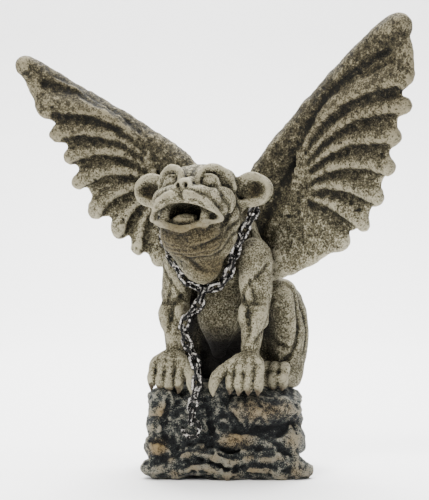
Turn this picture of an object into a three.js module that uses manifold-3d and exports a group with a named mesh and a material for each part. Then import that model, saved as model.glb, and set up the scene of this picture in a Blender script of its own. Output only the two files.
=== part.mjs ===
// A winged gargoyle in cast stone, crouching on a rock with a broken chain round its neck.
// Millimetres, +Z up. The origin is the middle of the rock's flat underside, and the rock's front faces -Y.
// The figure, its wings and its chain are laid out in the figure's own frame, in which it faces -Y and its
// left is +X. That frame is turned by FIGURE_TURN on the rock.
import * as THREE from "three";
import { mergeVertices } from "three/addons/utils/BufferGeometryUtils.js";
import { edgeTable, triTable } from "three/addons/objects/MarchingCubes.js";
import Module from "manifold-3d";

const wasm = await Module();
wasm.setup();

const vec = (x, y, z) => new THREE.Vector3(x, y, z);
const SIDES = [1, -1]; // the figure's left and right

// ---- driving dimensions ----

const FIGURE_TURN = THREE.MathUtils.degToRad(-20);
const FIGURE_SHIFT = vec(3, 0, -10); // from the rock's origin to the figure's own
const SEAT_GAP = 0.5; // between the figure and the rock it is set on
const PLUG_GAP = 1.2; // between the figure and a wing plugged into its back

const ROCK = { halfWidth: 77, halfDepth: 66, height: 91, corner: 5.5 };
const BODY = { middle: -3, chestHeight: 205, hipDepth: 36 };
const HEAD = { middle: -8, depth: -46, height: 268, halfWidth: 36 };
const ARM = { middle: -1, reach: 38, shoulderHeight: 206, wristHeight: 127 };
const LEG = { middle: -2, hipReach: 24, kneeReach: 51, kneeHeight: 176, footReach: 48 };
const SKIN_GRID = 9.8; // spacing of the grid on which the body's skin is found

const LINK = { pitch: 10.4, wire: 2.7, length: 17.6, width: 11.2 };
const SHACKLE = { radius: 8.2, wire: 4.4, openDegrees: 62 };


// ---- solids ----

function solidOf(geometry, closest = 1e-3) {
  const bare = new THREE.BufferGeometry().setAttribute("position", geometry.getAttribute("position").clone());
  if (geometry.index) bare.setIndex(geometry.index.clone());
  const merged = mergeVertices(bare, closest);
  const corners = [];
  for (let i = 0; i < merged.index.count; i += 3) {
    const face = [0, 1, 2].map((n) => merged.index.getX(i + n));
    if (new Set(face).size === 3) corners.push(...face);
  }
  const make = () =>
    new wasm.Manifold(
      new wasm.Mesh({
        numProp: 3,
        vertProperties: merged.attributes.position.array,
        triVerts: new Uint32Array(corners),
      }),
    );
  const made = make();
  if (made.volume() >= 0) return made;
  for (let i = 0; i < corners.length; i += 3) {
    [corners[i + 1], corners[i + 2]] = [corners[i + 2], corners[i + 1]];
  }
  return make();
}

function geometryOf(solid) {
  const mesh = solid.getMesh();
  const points = new Float32Array(mesh.numVert * 3);
  for (let i = 0; i < mesh.numVert; i++) {
    points.set(mesh.vertProperties.subarray(i * mesh.numProp, i * mesh.numProp + 3), i * 3);
  }
  return new THREE.BufferGeometry()
    .setAttribute("position", new THREE.BufferAttribute(points, 3))
    .setIndex(new THREE.BufferAttribute(mesh.triVerts, 1));
}

const joined = (solids) => solids.reduce((whole, next) => whole.add(next));

// The largest body of a cut solid, without the crumbs and slivers that the cuts leave.
function mainBody(solid) {
  const largest = solid.decompose().reduce((best, next) => (next.volume() > best.volume() ? next : best));
  return solidOf(geometryOf(largest), 0.05);
}

// A closed geometry from rings of points with one point at each end. Each ring has the same count.
function ringed(start, rings, end) {
  const count = rings[0].length;
  const points = [start, ...rings.flat(), end];
  const faces = [];
  const at = (ring, i) => 1 + ring * count + (i % count);
  for (let i = 0; i < count; i++) {
    faces.push(0, at(0, i + 1), at(0, i));
    for (let ring = 0; ring + 1 < rings.length; ring++) {
      faces.push(at(ring, i), at(ring, i + 1), at(ring + 1, i + 1));
      faces.push(at(ring, i), at(ring + 1, i + 1), at(ring + 1, i));
    }
    faces.push(points.length - 1, at(rings.length - 1, i), at(rings.length - 1, i + 1));
  }
  const flat = new Float32Array(points.flatMap((p) => [p.x, p.y, p.z]));
  return new THREE.BufferGeometry().setAttribute("position", new THREE.BufferAttribute(flat, 3)).setIndex(faces);
}

// A limb of changing thickness along a smooth curve through stations [x, y, z, radius], with blunt ends.
function limb(stations, sides = 7, steps = 4) {
  const curve = new THREE.CatmullRomCurve3(stations.map(([x, y, z]) => vec(x, y, z)));
  const frames = curve.computeFrenetFrames(steps, false);
  const rings = [];
  for (let i = 0; i <= steps; i++) {
    const along = (i / steps) * (stations.length - 1);
    const before = Math.min(Math.floor(along), stations.length - 2);
    const radius = THREE.MathUtils.lerp(stations[before][3], stations[before + 1][3], along - before);
    const centre = curve.getPoint(i / steps);
    const ring = [];
    for (let side = 0; side < sides; side++) {
      const angle = (side / sides) * 2 * Math.PI;
      ring.push(
        centre
          .clone()
          .addScaledVector(frames.normals[i], radius * Math.cos(angle))
          .addScaledVector(frames.binormals[i], radius * Math.sin(angle)),
      );
    }
    rings.push(ring);
  }
  const bluntness = 0.5;
  const start = curve.getPoint(0).addScaledVector(frames.tangents[0], -stations[0][3] * bluntness);
  const end = curve.getPoint(1).addScaledVector(frames.tangents[steps], stations.at(-1)[3] * bluntness);
  return solidOf(ringed(start, rings, end));
}

function egg(centre, radii, tilt = 0, around = 10, high = 7) {
  const geometry = new THREE.SphereGeometry(1, around, high)
    .scale(...radii)
    .rotateX(tilt)
    .translate(...centre);
  return solidOf(geometry);
}

// ---- the body's skin: masses that flow into each other ----

// Distance to an egg-shaped mass, turned by tilt about X.
function mass(centre, radii, tilt = 0) {
  const turn = new THREE.Euler(-tilt, 0, 0);
  const middle = vec(...centre);
  return (p) => {
    const q = p.clone().sub(middle).applyEuler(turn);
    const near = Math.hypot(q.x / radii[0], q.y / radii[1], q.z / radii[2]);
    const steep = Math.hypot(q.x / radii[0] ** 2, q.y / radii[1] ** 2, q.z / radii[2] ** 2);
    return steep > 0 ? (near * (near - 1)) / steep : -Math.min(...radii);
  };
}

// Distance to a limb that runs straight from one ball [x, y, z, radius] to another.
function bone([ax, ay, az, ar], [bx, by, bz, br]) {
  const a = vec(ax, ay, az);
  const run = vec(bx, by, bz).sub(a);
  return (p) => {
    const away = p.clone().sub(a);
    const along = THREE.MathUtils.clamp(away.dot(run) / run.lengthSq(), 0, 1);
    return away.addScaledVector(run, -along).length() - THREE.MathUtils.lerp(ar, br, along);
  };
}

const BLEND = 9; // how far two masses flow into each other
function flowed(masses) {
  return (p) =>
    masses.reduce((near, next) => {
      const d = next(p);
      const h = Math.max(BLEND - Math.abs(near - d), 0) / BLEND;
      return Math.min(near, d) - (h * h * BLEND) / 4;
    }, Infinity);
}

// The surface where a distance is zero, found by marching cubes over a box.
function skin(distance, low, high, grid) {
  const counts = [0, 1, 2].map((axis) => Math.ceil((high[axis] - low[axis]) / grid) + 1);
  const indexOf = (i, j, k) => (k * counts[1] + j) * counts[0] + i;
  const pointOf = (i, j, k) => vec(low[0] + i * grid, low[1] + j * grid, low[2] + k * grid);
  const values = new Float32Array(counts[0] * counts[1] * counts[2]);
  for (let k = 0; k < counts[2]; k++) {
    for (let j = 0; j < counts[1]; j++) {
      for (let i = 0; i < counts[0]; i++) values[indexOf(i, j, k)] = distance(pointOf(i, j, k));
    }
  }
  const corners = [[0, 0, 0], [1, 0, 0], [1, 1, 0], [0, 1, 0], [0, 0, 1], [1, 0, 1], [1, 1, 1], [0, 1, 1]];
  const edges = [[0, 1], [1, 2], [2, 3], [3, 0], [4, 5], [5, 6], [6, 7], [7, 4], [0, 4], [1, 5], [2, 6], [3, 7]];
  const positions = [];
  const made = new Map(); // one vertex for each grid edge that the surface crosses
  const faces = [];
  const keepOff = 0.12; // keeps vertices off the grid's corners, so that none coincide

  function vertex(i, j, k, edge) {
    const [a, b] = edges[edge].map((c) => corners[c].map((step, axis) => step + [i, j, k][axis]));
    const ends = [indexOf(...a), indexOf(...b)];
    const key = Math.min(...ends) + ":" + Math.max(...ends);
    if (!made.has(key)) {
      const share = values[ends[0]] / (values[ends[0]] - values[ends[1]]);
      const at = pointOf(...a).lerp(pointOf(...b), THREE.MathUtils.clamp(share, keepOff, 1 - keepOff));
      made.set(key, positions.length / 3);
      positions.push(at.x, at.y, at.z);
    }
    return made.get(key);
  }

  for (let k = 0; k + 1 < counts[2]; k++) {
    for (let j = 0; j + 1 < counts[1]; j++) {
      for (let i = 0; i + 1 < counts[0]; i++) {
        let inside = 0;
        corners.forEach(([a, b, c], n) => {
          if (values[indexOf(i + a, j + b, k + c)] < 0) inside |= 1 << n;
        });
        if (!edgeTable[inside]) continue;
        for (let t = inside * 16; triTable[t] !== -1; t++) faces.push(vertex(i, j, k, triTable[t]));
      }
    }
  }
  const geometry = new THREE.BufferGeometry();
  geometry.setAttribute("position", new THREE.Float32BufferAttribute(positions, 3)).setIndex(faces);
  return solidOf(geometry);
}

function torsoMasses() {
  const x = BODY.middle;
  return [
    mass([x, BODY.hipDepth, 128], [37, 31, 31]),
    bone([x, 40, 140, 31], [x, 34, 182, 30]),
    bone([x, 34, 182, 30], [x, 14, 214, 32]),
    mass([x, -8, BODY.chestHeight], [32, 26, 31]),
    mass([x - 1, -3, 165], [24, 26, 32]),
    bone([x, 0, 226, 28], [x - 3, -32, 246, 28]),
  ];
}

function headMasses() {
  const x = HEAD.middle;
  return [
    mass([x, HEAD.depth, HEAD.height], [HEAD.halfWidth, 33, 28]),
    mass([x, -63, 233], [33, 34, 27]),
    mass([x + 2, -54, 208], [19, 20, 22]),
    mass([x, -78, 262], [30, 24, 13]),
  ];
}

function armMasses(side) {
  const x = ARM.middle + side * ARM.reach;
  return [
    mass([x - side * 2, -23, ARM.shoulderHeight], [16, 20, 23]),
    bone([x, -26, 200, 16], [x, -31, 168, 13]),
    bone([x + side * 2, -28, 164, 11], [x + side * 3, -27, 152, 9]),
    bone([x, -33, 160, 12], [x + 3 - side * 2, -45, ARM.wristHeight, 8.5]),
    mass([x + 3, -55, 114], [14, 13, 9], 0.5),
  ];
}

function legMasses(side) {
  const x = LEG.middle;
  return [
    bone([x + side * LEG.hipReach, 36, 126, 24], [x + side * (LEG.kneeReach - 2), 14, 170, 18]),
    bone([x + side * LEG.kneeReach, 8, LEG.kneeHeight, 15], [x + side * 50, 15, 116, 12]),
    mass([x + side * 55, 30, 140], [17, 23, 42]),
    bone([x + side * 54, 28, 102, 13], [x + side * LEG.footReach, 0, 104, 10]),
  ];
}

const bodyMasses = [...torsoMasses(), ...headMasses(), ...SIDES.flatMap(armMasses), ...SIDES.flatMap(legMasses)];
const bodyDistance = flowed(bodyMasses);

// ---- hands and feet ----

// Fingers or toes in a row, each a bent limb with a claw on its end.
function digits(count, spread, middleX, side, root, knuckle, tip, claw, thickness) {
  const made = [];
  for (let i = 0; i < count; i++) {
    const x = middleX + (i - (count - 1) / 2) * spread;
    const back = Math.abs(i - (count - 1) / 2) * 1.5; // the outer digits start further back
    made.push(
      limb([
        [x - (x - middleX) * 0.25, root[0] + back, root[1], thickness],
        [x, knuckle[0] + back, knuckle[1], thickness * 1.08],
        [x, tip[0] + back, tip[1], thickness * 0.9],
      ], 5, 3),
    );
    made.push(
      limb([
        [x, tip[0] + back + 1, tip[1] + 2, thickness * 0.8],
        [x, claw[0] + back, claw[1], thickness * 0.35],
      ], 4, 1),
    );
  }
  return made;
}

function hand(side) {
  const x = ARM.middle + 2 + side * ARM.reach;
  const thumb = limb([
    [x - side * 12, -54, 114, 6],
    [x - side * 22, -61, 108, 5.6],
    [x - side * 27, -66, 98, 5],
    [x - side * 28, -69, 88, 1.6],
  ], 6, 6);
  return [...digits(4, 8.8, x, side, [-55, 114], [-62, 112], [-67, 98], [-69, 87], 4.8), thumb];
}

function foot(side) {
  const x = LEG.middle + side * LEG.footReach;
  return digits(4, 9.4, x, side, [2, 108], [-9, 108], [-17, 101], [-21, 92], 5);
}

// ---- face ----

function face() {
  const x = HEAD.middle;
  const made = [];
  for (const side of SIDES) {
    made.push(limb([
      [x + side * 4, -74, 275, 4.5],
      [x + side * 7, -72, 285, 5.5],
      [x + side * 17, -68, 290, 6],
      [x + side * 27, -64, 284, 5.5],
      [x + side * 31, -64, 274, 4],
    ], 6, 8)); // brow
    made.push(egg([x + side * 17, -72, 277], [8, 8, 8], 0, 8, 6)); // eye
    made.push(limb([
      [x + side * 2, -98, 266, 6],
      [x + side * 14, -101, 262, 6.5],
      [x + side * 26, -94, 252, 5],
      [x + side * 33, -86, 245, 3.5],
    ], 6, 6)); // upper lip
    made.push(egg([x + side * 30, -66, 262], [9, 12, 14], 0, 8, 6)); // cheek
  }
  made.push(egg([x, -92, 274], [8.5, 9, 7.5], 0, 8, 6)); // nose
  made.push(limb([
    [x - 33, -86, 243, 3],
    [x - 20, -99, 238, 4.5],
    [x, -105, 235, 5],
    [x + 20, -99, 238, 4.5],
    [x + 33, -86, 243, 3],
  ], 6, 8)); // lower lip
  return made;
}

function mouthHollow() {
  return egg([HEAD.middle, -102, 251], [25, 24, 10], 0.15, 12, 8);
}

// A round cupped ear, hollow on the side that faces forward.
function ear(side) {
  const centre = [HEAD.middle + side * 51, -44, 271];
  const cup = egg(centre, [17, 9, 16.5], 0, 12, 8);
  const hollow = egg([centre[0], centre[1] - 8, centre[2]], [11.5, 9, 11], 0, 10, 7);
  return { cup, hollow };
}

// ---- rock ----

// The rock's outline at full size: a rounded rectangle given as a radius for each direction.
function rockReach(angle) {
  const across = Math.abs(Math.cos(angle) / ROCK.halfWidth) ** ROCK.corner;
  const deep = Math.abs(Math.sin(angle) / ROCK.halfDepth) ** ROCK.corner;
  return (across + deep) ** (-1 / ROCK.corner);
}

// Its side, from the underside to the crown, as [share of the reach, share of the height].
const ROCK_PROFILE = [
  [1.0, 0], [0.99, 0.07], [0.955, 0.13], [0.935, 0.27], [0.95, 0.42], [0.9, 0.5],
  [0.94, 0.58], [0.935, 0.7], [0.89, 0.79], [0.8, 0.87], [0.6, 0.94], [0.3, 0.985],
];

// Slabs and hollows: a slow swell that runs round the rock and slants as it climbs.
function rockSwell(angle, heightShare) {
  const slab = Math.sin(3 * angle + 7 * heightShare) * 1.6 + Math.sin(7 * angle - 11 * heightShare) * 1.1;
  return slab * Math.min(1, 4 * heightShare);
}

function rock(grow) {
  const around = 32;
  const rings = ROCK_PROFILE.map(([share, heightShare]) => {
    const ring = [];
    for (let i = 0; i < around; i++) {
      const angle = (-2 * Math.PI * i) / around;
      const reach = rockReach(angle) * share + rockSwell(angle, heightShare) * share + grow;
      ring.push(vec(reach * Math.cos(angle), reach * Math.sin(angle), heightShare * ROCK.height + grow));
    }
    return ring;
  });
  rings[0].forEach((p) => (p.z = -grow));
  return solidOf(ringed(vec(0, 0, -grow), rings, vec(0, 0, ROCK.height + grow)));
}

// ---- wings ----

// A wing spreads from its fan's centre. The arm is a thick roll along the upper edge, from the back to the
// tip, as stations [x, y, z, radius]. The ribs end in lobes, and the low edge runs on to the body.
const LEFT_WING = {
  fan: [63, 4, 265],
  arm: [
    [16, 20, 236, 19], [34, 12, 279, 18], [54, 6, 307, 17], [80, 0, 335, 15.5],
    [113, -12, 368, 14], [151, -30, 399, 13], [172, -40, 412, 13],
  ],
  ribs: [
    [185, -44, 369], [184, -42, 343], [173, -36, 315], [167, -32, 288],
    [155, -26, 261], [140, -20, 237], [118, -12, 220],
  ],
  lowEdge: [[87, -6, 203], [64, -3, 193], [43, -2, 188]],
};
const RIGHT_WING = {
  fan: [-64, 6, 272],
  arm: [
    [-20, 20, 240, 19], [-49, 12, 290, 17], [-84, 4, 320, 14], [-113, -4, 342, 12],
    [-146, -14, 364, 10.5], [-176, -28, 384, 10], [-193, -40, 395, 10.5],
  ],
  ribs: [
    [-180, -40, 354], [-166, -38, 327], [-153, -34, 304], [-145, -30, 279],
    [-129, -24, 250], [-105, -18, 230], [-86, -12, 214], [-69, -6, 203],
  ],
  lowEdge: [[-50, -2, 194]],
};
const MEMBRANE = { middle: 13, edge: 7, scallop: 8, ridge: 5, firstBow: 60, lastBow: 8 };

// The curve of a rib from the fan's centre to its end, bowed towards the arm.
function ribCurve(centre, end, bow, armMiddle) {
  const run = end.clone().sub(centre);
  const side = vec(-run.z, 0, run.x).normalize();
  if (side.dot(armMiddle.clone().sub(centre)) < 0) side.negate();
  const bend = centre.clone().lerp(end, 0.5).addScaledVector(side, bow);
  return new THREE.QuadraticBezierCurve3(centre, bend, end);
}

function wing({ fan, arm, ribs, lowEdge }) {
  const centre = vec(...fan);
  const armLine = arm.map(([x, y, z]) => vec(x, y, z));
  const armMiddle = armLine[Math.floor(armLine.length / 2)];
  const bowOf = (share) => THREE.MathUtils.lerp(MEMBRANE.firstBow, MEMBRANE.lastBow, share);
  const spoke = (end, bow, rib) => ({ curve: ribCurve(centre, end, bow, armMiddle), span: centre.distanceTo(end), rib });
  // spokes all the way round: the wing's tip, the ribs, the low edge, and back out along the arm
  const spokes = [
    spoke(armLine.at(-1), MEMBRANE.firstBow, true),
    ...ribs.map((end, i) => spoke(vec(...end), bowOf(i / (ribs.length - 1)), true)),
    ...lowEdge.map((end) => spoke(vec(...end), 0, false)),
    ...armLine.slice(0, -1).map((end, i) => spoke(end, (MEMBRANE.firstBow * i) / armLine.length, false)),
  ];
  const rays = spokes.flatMap((from, i) => {
    const to = spokes[(i + 1) % spokes.length];
    const perBay = from.rib && to.rib ? 3 : 1;
    return Array.from({ length: perBay }, (_, n) => ({ from, to, across: n / perBay }));
  });
  const ring = (out, face) =>
    rays.map(({ from, to, across }) => {
      const dip = from.rib && to.rib ? Math.sin(Math.PI * across) : 0;
      const reach = out * (1 - (MEMBRANE.scallop * dip) / from.span);
      const at = from.curve.getPoint(reach).lerp(to.curve.getPoint(reach), across);
      const half = THREE.MathUtils.lerp(MEMBRANE.middle, MEMBRANE.edge, out) / 2;
      const relief = from.rib ? MEMBRANE.ridge * (0.5 - dip) * Math.min(1, 2 * out) : 0;
      return at.add(vec(0, face * half - relief, 0));
    });
  const fronts = [0.22, 0.48, 0.75, 1].map((out) => ring(out, -1));
  const backs = [1, 0.5].map((out) => ring(out, 1));
  const middle = vec(0, MEMBRANE.middle / 2, 0);
  const sheet = ringed(centre.clone().sub(middle), [...fronts, ...backs], centre.clone().add(middle));
  return solidOf(sheet).add(limb(arm, 8, 9));
}

// ---- chain ----

// One closed link: an oval ring of round wire, its long side along X and flat in the XY plane.
function linkGeometry() {
  const sides = 5;
  const perEnd = 3;
  const straight = (LINK.length - LINK.width) / 2;
  const bendRadius = (LINK.width - LINK.wire) / 2;
  const stations = [];
  for (const end of [1, -1]) {
    for (let i = 0; i <= perEnd; i++) {
      const angle = (i / perEnd - 0.5) * Math.PI;
      stations.push({ x: end * straight, outX: end * Math.cos(angle), outY: end * Math.sin(angle) });
    }
  }
  const points = [];
  for (const { x, outX, outY } of stations) {
    for (let side = 0; side < sides; side++) {
      const turn = (2 * Math.PI * side) / sides;
      const reach = bendRadius + (LINK.wire / 2) * Math.cos(turn);
      points.push(x + outX * reach, outY * reach, (LINK.wire / 2) * Math.sin(turn));
    }
  }
  const faces = [];
  const at = (station, side) => (station % stations.length) * sides + (side % sides);
  stations.forEach((_, s) => {
    for (let side = 0; side < sides; side++) {
      faces.push(at(s, side), at(s + 1, side), at(s + 1, side + 1));
      faces.push(at(s, side), at(s + 1, side + 1), at(s, side + 1));
    }
  });
  const geometry = new THREE.BufferGeometry();
  geometry.setAttribute("position", new THREE.Float32BufferAttribute(points, 3)).setIndex(faces);
  return geometryOf(solidOf(geometry));
}

// A loop round the neck, whose first link is the lowest, and the free end that hangs from that link. The
// free end lies along the right forearm and over the rock's front edge, and the shackle ends it.
const NECK_LOOP = [
  [-8, -40, 182], [4, -40, 184], [15, -43, 194], [22, -47, 210], [28, -43, 228], [34, -36, 244],
  [36, -24, 257], [29, -14, 268], [14, -8, 274], [-4, -5, 276], [-23, -8, 275], [-41, -16, 267],
  [-51, -27, 255], [-51, -38, 240], [-43, -47, 222], [-33, -51, 205], [-22, -46, 188],
];
const FREE_END = [
  [-9.6, -43.5, 175.4], [-12.5, -46, 166], [-20, -50, 157], [-23, -54, 147], [-18, -60, 134], [-9, -66, 120],
  [-4, -70, 108], [-3, -74, 96], [-5, -76, 84], [-7, -76, 68],
];

// Links along a curve, turned alternately by a quarter, the first by firstTurn from lying flat.
function linksAlong(curve, firstTurn) {
  const steps = 2 * Math.round(curve.getLength() / (2 * LINK.pitch)); // even, so that a loop closes
  const count = curve.closed ? steps : steps + 1;
  return Array.from({ length: count }, (_, i) => {
    const tangent = curve.getTangentAt(i / steps);
    const away = vec(0, -1, 0).addScaledVector(tangent, tangent.y).normalize();
    const across = away.clone().cross(tangent);
    const frame = new THREE.Matrix4().makeBasis(tangent, across, tangent.clone().cross(across));
    const turn = new THREE.Quaternion().setFromAxisAngle(tangent, firstTurn + (i % 2) * (Math.PI / 2));
    const orientation = turn.multiply(new THREE.Quaternion().setFromRotationMatrix(frame));
    return { at: curve.getPointAt(i / steps), orientation };
  });
}

// The shackle: a ring of thicker wire in the XZ plane, cut open at its left.
function shackleGeometry() {
  const gap = THREE.MathUtils.degToRad(SHACKLE.openDegrees);
  const start = Math.PI * 0.62;
  const points = [];
  const steps = 12;
  for (let i = 0; i <= steps; i++) {
    const angle = start - (i / steps) * (2 * Math.PI - gap);
    points.push([SHACKLE.radius * Math.cos(angle), 0, SHACKLE.radius * Math.sin(angle), SHACKLE.wire / 2]);
  }
  return geometryOf(limb(points, 6, steps));
}

// ---- assembly ----

const material = (colour, roughness, metalness = 0) =>
  new THREE.MeshStandardMaterial({ color: colour, roughness, metalness });
const stone = material("#8d8574", 0.9);
const rockPaint = material("#4a4a44", 0.85);
const blackIron = material("#3a3a3c", 0.45, 0.8);

const figureFrame = new THREE.Group();
figureFrame.rotation.z = FIGURE_TURN;
figureFrame.position.copy(FIGURE_SHIFT);
figureFrame.updateMatrixWorld();
const intoFigure = figureFrame.matrixWorld.clone().invert();

const part = new THREE.Group();
part.add(figureFrame);

function add(parent, name, geometry, finish) {
  const mesh = new THREE.Mesh(geometry, finish);
  mesh.name = name;
  parent.add(mesh);
  return mesh;
}

const rockSolid = rock(0);
const rockCutter = solidOf(geometryOf(rock(SEAT_GAP)).applyMatrix4(intoFigure));

function figureSolid(grow) {
  const body = skin((p) => bodyDistance(p) - grow, [-95, -125, 82], [95, 90, 322], SKIN_GRID);
  if (grow) return body;
  const ears = SIDES.map(ear);
  const added = [...face(), ...SIDES.flatMap(hand), ...SIDES.flatMap(foot), ...ears.map(({ cup }) => cup)];
  return [mouthHollow(), ...ears.map(({ hollow }) => hollow), rockCutter].reduce(
    (whole, cut) => whole.subtract(cut),
    joined([body, ...added]),
  );
}

const figure = mainBody(figureSolid(0));
const figureCutter = figureSolid(PLUG_GAP);

add(part, "rock_base", geometryOf(rockSolid), rockPaint);
add(figureFrame, "gargoyle_figure", geometryOf(figure), stone);
add(figureFrame, "left_wing", geometryOf(mainBody(wing(LEFT_WING).subtract(figureCutter))), stone);
add(figureFrame, "right_wing", geometryOf(mainBody(wing(RIGHT_WING).subtract(figureCutter))), stone);

const loop = new THREE.CatmullRomCurve3(NECK_LOOP.map((p) => vec(...p)), true);
const hanging = new THREE.CatmullRomCurve3(FREE_END.map((p) => vec(...p)));
const runs = { neck_link: linksAlong(loop, -Math.PI / 4), hanging_link: linksAlong(hanging, Math.PI / 2) };
for (const [name, places] of Object.entries(runs)) {
  places.forEach(({ at, orientation }, i) => {
    const link = add(figureFrame, `${name}_${String(i + 1).padStart(2, "0")}`, linkGeometry(), blackIron);
    link.position.copy(at);
    link.quaternion.copy(orientation);
  });
}
const shackle = add(figureFrame, "broken_shackle", shackleGeometry(), blackIron);
shackle.position.set(-8, -76, 57);

export default part;
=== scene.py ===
"""A stone gargoyle with spread wings, crouching on a painted rock with a broken chain round its neck."""

import math

import bpy
import numpy as np
import openvdb as vdb
from mathutils import Matrix, Vector


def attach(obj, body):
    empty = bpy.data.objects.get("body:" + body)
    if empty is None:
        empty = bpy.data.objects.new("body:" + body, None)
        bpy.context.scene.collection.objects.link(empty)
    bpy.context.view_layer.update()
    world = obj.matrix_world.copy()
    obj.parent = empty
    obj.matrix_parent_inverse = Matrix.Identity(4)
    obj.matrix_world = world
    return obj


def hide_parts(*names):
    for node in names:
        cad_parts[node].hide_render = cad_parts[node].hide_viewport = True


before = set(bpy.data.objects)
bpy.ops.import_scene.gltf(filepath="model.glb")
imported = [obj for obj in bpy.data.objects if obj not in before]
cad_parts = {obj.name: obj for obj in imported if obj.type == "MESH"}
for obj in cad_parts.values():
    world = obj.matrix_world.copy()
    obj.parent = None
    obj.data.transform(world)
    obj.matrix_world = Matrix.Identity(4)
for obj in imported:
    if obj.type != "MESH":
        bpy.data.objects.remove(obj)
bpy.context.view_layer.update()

# ---- the room ----
# A pale floor that curves up into a wall behind the statue, lit by large soft lights: one high in front
# on the left, a wide one above, and a weak one on the right. The camera stands level with the chest.

CAMERA_PLACE = (-0.0093, -1.3, 0.207)
CAMERA_LENS = 98.93
CHEST = (0, 0, 0.22)
SWEEP = {"front": -3.0, "back": 1.6, "half_width": 4.0, "height": 3.0, "radius": 0.8, "steps": 16}


def in_scene(name, data):
    """A new object with this data, in the scene."""
    made = bpy.data.objects.new(name, data)
    bpy.context.scene.collection.objects.link(made)
    return made


def sweep_mesh():
    """The floor and the wall as one bent sheet."""
    line = [(SWEEP["front"], 0.0), (SWEEP["back"], 0.0)]
    for i in range(1, SWEEP["steps"] + 1):
        turn = math.pi / 2 * i / SWEEP["steps"]
        line.append((
            SWEEP["back"] + SWEEP["radius"] * math.sin(turn),
            SWEEP["radius"] * (1 - math.cos(turn)),
        ))
    line.append((SWEEP["back"] + SWEEP["radius"], SWEEP["height"]))
    points = [(side * SWEEP["half_width"], y, z) for y, z in line for side in (-1, 1)]
    faces = [(2 * i, 2 * i + 1, 2 * i + 3, 2 * i + 2) for i in range(len(line) - 1)]
    mesh = bpy.data.meshes.new("studio_floor")
    mesh.from_pydata(points, [], faces)
    mesh.shade_smooth()
    return mesh


def add_light(name, place, size, watts, colour):
    """A square soft light that faces the statue's chest."""
    light = bpy.data.lights.new(name, "AREA")
    light.size = size
    light.energy = watts
    light.color = colour
    made = in_scene(name, light)
    made.location = place
    made.rotation_euler = (Vector(CHEST) - Vector(place)).to_track_quat("-Z", "Y").to_euler()


floor = in_scene("studio_floor", sweep_mesh())
floor_paint = bpy.data.materials.new("pale_floor")
floor_paint.use_nodes = True
floor_shader = floor_paint.node_tree.nodes["Principled BSDF"]
floor_shader.inputs["Base Color"].default_value = (0.9, 0.9, 0.9, 1)
floor_shader.inputs["Roughness"].default_value = 0.9
floor.data.materials.append(floor_paint)

add_light("key_light", (-0.8, -1.1, 1.6), 0.5, 44, (1.0, 0.98, 0.94))
add_light("top_light", (0.1, 0.0, 1.8), 0.8, 40, (1.0, 1.0, 1.0))
add_light("fill_light", (1.3, -1.2, 0.5), 1.0, 5, (0.95, 0.98, 1.0))
add_light("wall_light", (0.0, 1.4, 2.6), 2.5, 400, (1.0, 1.0, 1.0))

room = bpy.data.worlds.new("studio")
room.use_nodes = True
room.node_tree.nodes["Background"].inputs["Color"].default_value = (1, 1, 1, 1)
room.node_tree.nodes["Background"].inputs["Strength"].default_value = 0.28
bpy.context.scene.world = room

camera = in_scene("camera", bpy.data.cameras.new("camera"))
camera.location = CAMERA_PLACE
camera.rotation_euler = (math.pi / 2, 0, 0)
camera.data.lens = CAMERA_LENS
camera.data.clip_end = 20
bpy.context.scene.camera = camera

# ---- rock base ----
# The rock is one block of cast stone with rounded boulders, ledges and cracks, flat underneath. It is
# shaped as clay is: a grid of distances starts from the construction model, and boulders are added to it
# and cracks cut into it. It is painted charcoal, then brushed with pale grey and patches of ochre.

FAR = 12.0  # the furthest distance that a grid keeps, in mm


def mass(centre, radii, nod=0.0):
    """An egg-shaped lump, nodded forward about X."""
    cos, sin = math.cos(nod), math.sin(nod)
    middle = np.array(centre, float)
    around = np.array([radii[0], max(radii[1:]) if nod else radii[1], max(radii[1:]) if nod else radii[2]])

    def distance(x, y, z):
        x, y, z = x - middle[0], y - middle[1], z - middle[2]
        y, z = cos * y + sin * z, cos * z - sin * y
        near = np.sqrt((x / radii[0]) ** 2 + (y / radii[1]) ** 2 + (z / radii[2]) ** 2)
        steep = np.sqrt((x / radii[0] ** 2) ** 2 + (y / radii[1] ** 2) ** 2 + (z / radii[2] ** 2) ** 2)
        return near * (near - 1) / np.maximum(steep, 1e-4)

    return [(middle - around, middle + around, distance)]


def bone(start, end, flat=1.0):
    """A straight limb from one ball (x, y, z, radius) to another. flat squeezes it from front to back."""
    a, b = np.array(start, float), np.array(end, float)
    squeeze = np.array([1, 1 / flat, 1])
    first, run = a[:3] * squeeze, (b[:3] - a[:3]) * squeeze
    size = max(float(run @ run), 1e-6)
    reach = max(a[3], b[3])

    def distance(x, y, z):
        x, y, z = x - first[0], y / flat - first[1], z - first[2]
        along = np.clip((x * run[0] + y * run[1] + z * run[2]) / size, 0, 1)
        away = (x - along * run[0]) ** 2 + (y - along * run[1]) ** 2 + (z - along * run[2]) ** 2
        return np.sqrt(away) - (a[3] + (b[3] - a[3]) * along)

    return [(np.minimum(a[:3], b[:3]) - reach, np.maximum(a[:3], b[:3]) + reach, distance)]


def smooth_line(points, count):
    """A smooth line through these rows of numbers, with count steps between each two."""
    rows = np.array(points, float)
    rows = np.vstack([2 * rows[0] - rows[1], rows, 2 * rows[-1] - rows[-2]])
    made = []
    for a, b, c, d in zip(rows, rows[1:], rows[2:], rows[3:]):
        for t in np.arange(count) / count:
            cubic = (2 * a - 5 * b + 4 * c - d) * t * t + (3 * b - a - 3 * c + d) * t**3
            made.append(0.5 * (2 * b + (c - a) * t + cubic))
    return np.array([*made, rows[-2]])


def chained(balls, flat=1.0):
    """Straight limbs from each ball (x, y, z, radius) to the next."""
    return [lump for start, end in zip(balls, balls[1:]) for lump in bone(start, end, flat)]


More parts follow.
